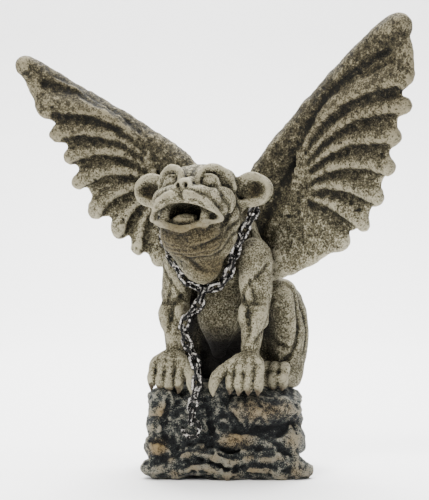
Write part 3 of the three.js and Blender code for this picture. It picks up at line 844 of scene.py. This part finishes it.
def add_creases(clay):
    """The folds of the cheeks and jowls, the lines of the chin, and the furrows of the brow."""
    x = -8
    for side in SIDES:
        for line in (
            [(23.6, -79, 270), (29, -81, 263), (28, -68, 255.5), (27.8, -68, 247), (30, -75, 240),
             (29, -79, 233)],
            [(26, -71, 271), (31, -67, 264.5), (30, -60, 255), (29.7, -64, 245), (31, -75, 236),
             (28, -77, 226)],
            [(30, -64, 272), (34, -59, 264), (33, -51, 254), (31, -54, 243), (32, -72, 232),
             (27, -74, 220)],
            [(34, -56, 271), (36, -49, 263), (33, -38, 254), (30.5, -40, 242), (32.6, -62, 229),
             (25, -68, 215)],
        ):
            clay.crease(beside(x, side, line), 1.7, blend=2.5)
        for radius, line in (
            (1.5, [(5, -103, 268), (11, -104, 269), (18, -101, 267), (24.5, -94, 262), (28, -84, 256)]),
            (1.4, [(9, -104, 263), (17, -102, 260), (25, -95, 254)]),
            (1.3, [(12, -64, 298), (20, -56, 297), (29, -55, 288)]),
            (1.2, [(4.5, -86, 272), (14, -87, 272.8), (23, -80, 273)]),
        ):
            clay.crease(beside(x, side, line), radius, blend=2.5)
    for i in range(7):  # smiling lines under the lip
        drop = i * 3.6
        width = 26 - 0.25 * (i - 2) ** 2
        front = -97 + 0.45 * i * i
        clay.crease([
            (x - width, front + 14, 237.5 - drop), (x - width * 0.5, front + 2, 231.5 - drop),
            (x, front, 229.5 - drop), (x + width * 0.5, front + 2, 232 - drop),
            (x + width, front + 14, 238.5 - drop),
        ], 1.1, blend=2)
    clay.crease([
        (x + 7, -90.5, 217.5), (x + 14, -89, 220), (x + 21, -84, 224.5), (x + 28, -76, 231),
    ], 1.9, blend=2)
    clay.crease([(x - 6, -84, 212.5), (x + 3, -75, 203.6), (x + 12, -67, 196.3)], 1.5, blend=3)
    clay.crease([(x, -80, 286), (x - 0.5, -70, 293), (x, -58, 296)], 1.5, blend=3)


def add_ear(clay, side):
    """A cupped ear: thick above, thin at the outer edge, and joined low to the head."""
    x, y, z = -8 + side * 50, -44, 271
    clay.add(mass((x, y, z + 0.5), (17, 9, 15)), blend=3)
    clay.add(bone((x - side * 8, y, z - 6, 8), (x - side * 14, y - 2, z - 14, 6)), blend=4)
    clay.add(trail(beside(x, side, [
        (-13, y - 4, z + 9, 4.2), (-2, y - 6, z + 12.5, 4.6), (9, y - 6, z + 9.5, 3.6),
        (14, y - 6, z + 1, 2.6), (9, y - 5, z - 9, 2.6), (-3, y - 4, z - 13, 3.0),
    ])), blend=2.5)
    clay.cut(trail(beside(x, side, [
        (-7, y - 9, z - 1.5, 7.5), (1, y - 9.5, z + 0.5, 8), (7, y - 10, z + 0, 5.5),
    ])), blend=2)


add_torso(figure)
for side in SIDES:
    add_arm(figure, side)
    add_leg(figure, side)
add_head(figure)
for side in SIDES:
    add_ear(figure, side)
add_nose(figure)
add_creases(figure)
add_mouth(figure)
for side in SIDES:
    add_hand(figure, side)
    add_foot(figure, side)


def keep_clear(clay, other, place, gap):
    """Cuts from one piece of clay what another one fills. place turns its own points into the other's."""
    part = tuple(np.arange(n) for n in clay.field.shape)
    own = np.stack(np.meshgrid(*part, indexing="ij"), -1).reshape(-1, 3) * clay.step + clay.low
    steps = (place(own) - other.low) / other.step
    inside = np.all((steps >= 0) & (steps <= np.array(other.field.shape) - 1), axis=1)
    near = np.full(len(own), FAR, np.float32)
    near[inside] = sample(other.field, steps[inside])
    clay.field = np.maximum(clay.field, gap - near.reshape(clay.field.shape))


figure.roughen(8.0, 0.5, 11)
figure.roughen(3.3, 0.3, 12)
figure.pit(3.3, 0.6, 0.14, 13)


def jaw_ochre(points):
    """Brown wash over the jaw, the throat and the belly, and inside the ears."""
    jaw = 1.25 - np.linalg.norm((points - (-6, -80, 226)) / (34, 34, 20), axis=1)
    throat = 1.0 - np.linalg.norm((points - (2, -60, 205)) / (24, 26, 22), axis=1)
    ears = [
        1.0 - np.linalg.norm((points - (-8 + side * 52, -46, 270)) / (11, 9, 10), axis=1) for side in SIDES
    ]
    belly = 0.45 - np.linalg.norm((points - (-5, -22, 150)) / (24, 20, 40), axis=1)
    return np.clip(np.max([jaw, throat, belly, *ears], axis=0) * 1.3, 0, 1)


def soot(points):
    """Painted shade, near black, where the deep shadows fall: under the belly, and between each arm and
    haunch.
    """
    x, y, z = (points - (-3, 0, 0)).T
    under = np.clip((152 - z) / 22, 0, 1) * np.clip((34 - np.abs(x)) / 8, 0, 1)
    under = under * np.clip((y + 34) / 10, 0, 1) * np.clip((38 - y) / 10, 0, 1)
    sides = [
        1.4 - np.linalg.norm((points - (-3 + side * 37, 0, 150)) / (13, 14, 42), axis=1) for side in SIDES
    ]
    return np.clip(np.max([under, *sides], axis=0), 0, 1)


def claw_paint(points):
    """Brown claws, at the ends of the fingers and toes."""
    near = np.min([distance(*points.T) for _, _, distance in nails], axis=0)
    return np.clip(1.0 - near, 0, 1)


def cast_stone(name, grain_scale, pit_scale, middle, contrast, shape):
    """Pale stone, dark in its hollows, partly from a real wash and partly as painted shade. Gives the
    material, its tree, shader, the number for its wear and painted shade, vector and colour.
    """
    material, tree, shader, wear, vector = relief_material(
        name, grain_scale, pit_scale, middle, contrast, shape, bump=0.0017, roughness=0.85,
    )
    # dark in the hollows as a real wash and as painted shade, pale on the crests as real wear and as painted
    # highlight
    colour = ramp(tree, wear, [
        (0.02, (0.004, 0.0035, 0.0015)), (0.22, (0.022, 0.019, 0.009)), (0.45, (0.056, 0.049, 0.027)),
        (0.68, (0.102, 0.091, 0.056)), (1.0, (0.31, 0.285, 0.20)),
    ])
    return material, tree, shader, wear, vector, colour


def figure_paint():
    """The figure's stone: washed brown, with near-black painted shade where its deepest shadows fall, and
    with brown claws.
    """
    material, tree, shader, wear, vector, colour = cast_stone("figure_stone", 680.0, 430.0, 0.54, 0.82, 1.35)
    brown = ramp(tree, wear, [
        (0.08, (0.004, 0.003, 0.001)), (0.34, (0.017, 0.013, 0.005)), (0.60, (0.040, 0.031, 0.013)),
        (0.98, (0.110, 0.088, 0.045)),
    ])
    horn = ramp(tree, wear, [
        (0.15, (0.004, 0.003, 0.002)), (0.5, (0.018, 0.013, 0.007)), (1.0, (0.065, 0.05, 0.031)),
    ])
    colour = tinted(tree, marked(tree, wear, "ochre", vector, 90.0, 0.7, 1.35), colour, brown)
    # near-black painted shade under the belly and between the arms and haunches
    colour = tinted(tree, stored(tree, "soot"), colour, (0.006, 0.005, 0.004))
    colour = tinted(tree, stored(tree, "claw"), colour, horn)
    tree.links.new(colour, shader.inputs["Base Color"])
    return material


figure_stone = figure_paint()
keep_clear(figure, rock, to_world, GAP)
# its marks: the brown wash, the brown claws, and the near-black painted shade
figure_piece = figure.mesh("gargoyle", to_world, {"ochre": jaw_ochre, "claw": claw_paint, "soot": soot})
figure_piece.data.materials.append(figure_stone)
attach(figure_piece, "root")
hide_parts("gargoyle_figure")

# ---- wings ----
# Each wing is a thick sheet of the same stone, cast apart and set against the back. A heavy rounded arm
# runs along its upper edge, and ribs fan out from the shoulder in bowed curves and end in round lobes.

WING_STEP = 1.2
WINGS = {
    "left_wing": {
        "fan": (63, 4, 265),
        "arm": [(16, 20, 236, 19), (34, 12, 279, 18), (54, 6, 307, 17), (80, 0, 335, 15.5),
                (113, -12, 368, 14), (151, -30, 399, 13), (172, -40, 412, 13)],
        "ribs": [(185, -44, 369), (184, -42, 343), (173, -36, 315), (167, -32, 288),
                 (155, -26, 261), (140, -20, 237), (118, -12, 220)],
        "web": [(166, -40, 408, 9), (177, -44, 396, 8), (181, -45, 382, 7), (180, -44, 369, 6)],
        "rim": [(24, -2, 240, 5), (31, 0, 222, 5.5), (39, 2, 206, 5.5), (45, 1, 192, 5)],
    },
    "right_wing": {
        "fan": (-64, 6, 272),
        "arm": [(-20, 20, 240, 19), (-49, 12, 290, 17), (-84, 4, 320, 14), (-113, -4, 342, 12),
                (-146, -14, 364, 10.5), (-176, -28, 384, 10), (-193, -40, 395, 10.5)],
        "ribs": [(-180, -40, 354), (-166, -38, 327), (-153, -34, 304), (-145, -30, 279),
                 (-129, -24, 250), (-105, -18, 230), (-86, -12, 214), (-69, -6, 203)],
        "web": [(-186, -40, 388, 7), (-184, -41, 376, 6), (-178, -40, 362, 5)],
        "rim": [(-34, -2, 228, 4), (-42, 0, 212, 4.5), (-48, 0, 198, 4.5)],
    },
}
BOW = (60, 8)
RIB_FLAT = 0.62


def rib_line(fan, end, bow, arm_middle, first, last, count):
    """Points on the curve from the fan's centre to a rib's end, bowed towards the arm."""
    fan, end = np.array(fan, float), np.array(end, float)
    side = np.array([-(end - fan)[2], 0, (end - fan)[0]])
    side /= np.linalg.norm(side)
    if side @ (arm_middle - fan) < 0:
        side = -side
    knee = (fan + end) / 2 + side * bow
    t = np.linspace(first, last, count)[:, None]
    return (1 - t) ** 2 * fan + 2 * t * (1 - t) * knee + t * t * end


def add_ribs(clay, fan, arm, ribs):
    """Ridges that run out to the lobes, each with a groove along its lower side."""
    arm_middle = np.array(arm[len(arm) // 2][:3], float)
    bows = [BOW[0], *np.linspace(BOW[0], BOW[1], len(ribs))]
    ends = [arm[-1][:3], *ribs]
    along = np.linspace(0, 1, 9)
    for i in range(1, len(ends)):
        gap = float(np.linalg.norm(np.subtract(ends[i], ends[i - 1])))
        span = float(np.linalg.norm(np.subtract(ends[i], fan)))
        lobe = 0.26 * gap
        line = rib_line(fan, ends[i], bows[i], arm_middle, 0.18, 1 - lobe / span * 0.8, 9)
        radii = np.interp(along, [0, 0.3, 0.8, 1], [1.2, 0.45 * lobe, 0.8 * lobe, lobe])
        ridge = [(x, y - 2.5, z, r) for (x, y, z), r in zip(line, radii)]
        clay.add(trail(ridge, steps=3, flat=RIB_FLAT), blend=7)
    for i in range(len(ends) - 1):
        upper = rib_line(fan, ends[i], bows[i], arm_middle, 0.26, 0.93, 9)
        lower = rib_line(fan, ends[i + 1], bows[i + 1], arm_middle, 0.26, 0.93, 9)
        line = upper * 0.6 + lower * 0.4
        groove = clay.settled(smooth_line(line - (0, 5, 0), 3)) - (0, 0.9, 0)
        radii = np.interp(along, [0, 0.4, 1], [0.8, 1.7, 1.9])
        radii = np.interp(np.linspace(0, 1, len(groove)), along, radii)
        clay.cut(chained(np.column_stack([groove, radii])), blend=5)


def wing_paint():
    """The wings' stone: more strongly marked by wear and painted shade than the figure's, and darker towards
    the top.
    """
    material, tree, shader, _, _, colour = cast_stone("wing_stone", 600.0, 380.0, 0.34, 0.78, 2.3)
    darker_above = tinted(tree, stored(tree, "high"), colour, (0.58, 0.55, 0.50), "MULTIPLY")
    tree.links.new(darker_above, shader.inputs["Base Color"])
    return material


def high_up(points):
    """How far up the wing a point is: the upper part is coloured darker."""
    return np.clip((points[:, 2] - 225) / 110, 0, 1)


wing_stone = wing_paint()
for seed, (name, shape) in enumerate(WINGS.items()):
    wing = cast_from(name, WING_STEP, to_figure)
    wing.soften(2, 2)
    wing.swell(SKIN)
    add_ribs(wing, shape["fan"], shape["arm"], shape["ribs"])
    wing.add(trail(shape["arm"], steps=8), blend=3)
    wing.add(trail(shape["web"], steps=4, flat=RIB_FLAT), blend=6)
    wing.add(trail(shape["rim"], steps=4), blend=3)
    wing.roughen(11.0, 0.9, 21 + seed)
    wing.roughen(3.6, 0.5, 31 + seed)
    wing.pit(3.8, 1.2, 0.16, 41 + seed)
    keep_clear(wing, figure, lambda p: p, GAP)
    wing_piece = wing.mesh(name + "_stone", to_world, {"high": high_up})
    wing_piece.data.materials.append(wing_stone)
    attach(wing_piece, "root")
    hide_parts(name)

# ---- chain ----
# A cast iron chain loops the neck and hangs over the rock's edge, each oval link threaded at a right angle
# through the one before it. It is painted black and brushed with silver. A broken shackle ends it.

LINK = {"Length": 0.0176, "Width": 0.0112, "Wire": 0.0035}


def link_places(nodes):
    """Where each link of the construction model lies, and how it is turned, from its own points."""
    middles, turns = [], []
    for node in nodes:
        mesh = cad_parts[node].data
        points = np.empty(len(mesh.vertices) * 3, np.float32)
        mesh.vertices.foreach_get("co", points)
        points = np.unique(points.reshape(-1, 3).round(6), axis=0)
        middle = points.mean(0)
        _, _, axes = np.linalg.svd(points - middle)
        axes[2] = np.cross(axes[0], axes[1])
        middles.append(middle)
        turns.append(Matrix(axes.T.tolist()).to_quaternion())
    return middles, turns


def link_tree(material):
    """Geometry nodes that set one oval link on every point, turned by the point's own turn."""
    tree = bpy.data.node_groups.new("chain_links", "GeometryNodeTree")
    tree.interface.new_socket("Geometry", in_out="INPUT", socket_type="NodeSocketGeometry")
    for name in LINK:
        tree.interface.new_socket(name, in_out="INPUT", socket_type="NodeSocketFloat")
    tree.interface.new_socket("Geometry", in_out="OUTPUT", socket_type="NodeSocketGeometry")
    given = put(tree, "NodeGroupInput").outputs
    bend = maths(tree, "SUBTRACT", given["Width"], given["Wire"])
    radius = maths(tree, "MULTIPLY", bend, 0.5)
    longer = maths(tree, "SUBTRACT", given["Length"], given["Width"])
    straight = maths(tree, "MULTIPLY", longer, 0.5)
    circle = put(tree, "GeometryNodeCurvePrimitiveCircle", Resolution=28, Radius=radius)
    place = put(tree, "ShaderNodeSeparateXYZ", Vector=put(tree, "GeometryNodeInputPosition").outputs[0])
    way = maths(tree, "SIGN", place.outputs["X"])
    out = maths(tree, "MULTIPLY", way, straight)
    offset = put(tree, "ShaderNodeCombineXYZ", X=out)
    oval = put(tree, "GeometryNodeSetPosition", Geometry=circle.outputs["Curve"], Offset=offset.outputs[0])
    half_wire = maths(tree, "MULTIPLY", given["Wire"], 0.5)
    section = put(tree, "GeometryNodeCurvePrimitiveCircle", Resolution=10, Radius=half_wire)
    wire = put(tree, "GeometryNodeCurveToMesh", Curve=oval.outputs[0],
               Profile_Curve=section.outputs["Curve"])
    aside = maths(tree, "ABSOLUTE", place.outputs["Z"])
    crest = put(tree, "ShaderNodeMapRange", Value=aside, in2=half_wire, in3=-1.0)
    crested = put(tree, "GeometryNodeStoreNamedAttribute", {"data_type": "FLOAT"}, Geometry=wire.outputs[0],
                  Name="relief_fine", Value=crest.outputs[0])
    turn = put(tree, "GeometryNodeInputNamedAttribute", {"data_type": "QUATERNION"}, Name="link_turn")
    links = put(tree, "GeometryNodeInstanceOnPoints", Points=given["Geometry"], Instance=crested.outputs[0],
                Rotation=turn.outputs["Attribute"])
    real = put(tree, "GeometryNodeRealizeInstances", Geometry=links.outputs[0])
    uneven = put(tree, "ShaderNodeTexNoise", Scale=420.0, Detail=1.0)
    centred = put(tree, "ShaderNodeVectorMath", {"operation": "SUBTRACT"}, in0=uneven.outputs["Color"],
                  in1=(0.5, 0.5, 0.5))
    shift = put(tree, "ShaderNodeVectorMath", {"operation": "SCALE"}, in0=centred.outputs[0], Scale=0.0012)
    rough = put(tree, "GeometryNodeSetPosition", Geometry=real.outputs[0], Offset=shift.outputs[0])
    smooth = put(tree, "GeometryNodeSetShadeSmooth", Geometry=rough.outputs[0])
    painted = put(tree, "GeometryNodeSetMaterial", Geometry=smooth.outputs[0], Material=material)
    put(tree, "NodeGroupOutput", Geometry=painted.outputs[0])
    return tree


def chain_paint():
    """Black paint, with silver brushed over the links' crests in patches."""
    material = bpy.data.materials.new("chain_paint")
    material.use_nodes = True
    tree = material.node_tree
    shader = tree.nodes["Principled BSDF"]
    vector = put(tree, "ShaderNodeTexCoord").outputs["Object"]
    grain = put(tree, "ShaderNodeGroup", {"node_tree": STONE_GRAIN}, Vector=vector, Grain_Scale=900.0,
                Pit_Scale=380.0)
    patches = noise(tree, vector, 330.0, 2.0, 0.6)
    crest = stored(tree, "relief_fine")
    total = sum_of(tree, (patches, 1.0), (grain.outputs["Speckle"], 0.5), (crest, 0.14))
    silver = put(tree, "ShaderNodeMapRange", Value=total, in1=0.83, in2=0.95).outputs["Result"]
    colour = tinted(tree, silver, (0.002, 0.002, 0.002), (0.50, 0.475, 0.44))
    tree.links.new(colour, shader.inputs["Base Color"])
    tree.links.new(maths(tree, "MULTIPLY", silver, 0.35), shader.inputs["Metallic"])
    shader.inputs["Roughness"].default_value = 0.6
    shader.inputs["Specular IOR Level"].default_value = 0.15
    raised = put(tree, "ShaderNodeBump", Strength=1.0, Distance=0.0005, Height=grain.outputs["Height"])
    tree.links.new(raised.outputs["Normal"], shader.inputs["Normal"])
    return material


def chain_of_links(nodes, material):
    """One mesh with an oval link in the place of each of these nodes."""
    middles, turns = link_places(nodes)
    mesh = bpy.data.meshes.new("link_points")
    mesh.from_pydata([tuple(m) for m in middles], [], [])
    turn_values = mesh.attributes.new("link_turn", "QUATERNION", "POINT")
    turn_values.data.foreach_set("value", [part for turn in turns for part in turn])
    pattern = in_scene("link_points", mesh)
    setter = pattern.modifiers.new("links", "NODES")
    setter.node_group = link_tree(material)
    for socket in setter.node_group.interface.items_tree:
        if socket.in_out == "INPUT" and socket.name in LINK:
            setter[socket.identifier] = LINK[socket.name]
    pattern_seen = pattern.evaluated_get(bpy.context.evaluated_depsgraph_get())
    links = bpy.data.meshes.new_from_object(pattern_seen)
    pattern.modifiers.clear()
    bpy.data.objects.remove(pattern)
    return in_scene("chain", links)


chain_iron = chain_paint()
link_nodes = sorted(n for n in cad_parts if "_link_" in n)
chain = chain_of_links(link_nodes, chain_iron)
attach(chain, "root")
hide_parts(*link_nodes)

shackle_clay = cast_from("broken_shackle", 0.5)
shackle_clay.soften(1, 3)
shackle_clay.swell(SKIN)
shackle_clay.roughen(2.4, 0.35, 51)
shackle = shackle_clay.mesh("broken_ring", lambda p: p, {})
shackle.data.materials.append(chain_iron)
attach(shackle, "root")
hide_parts("broken_shackle")
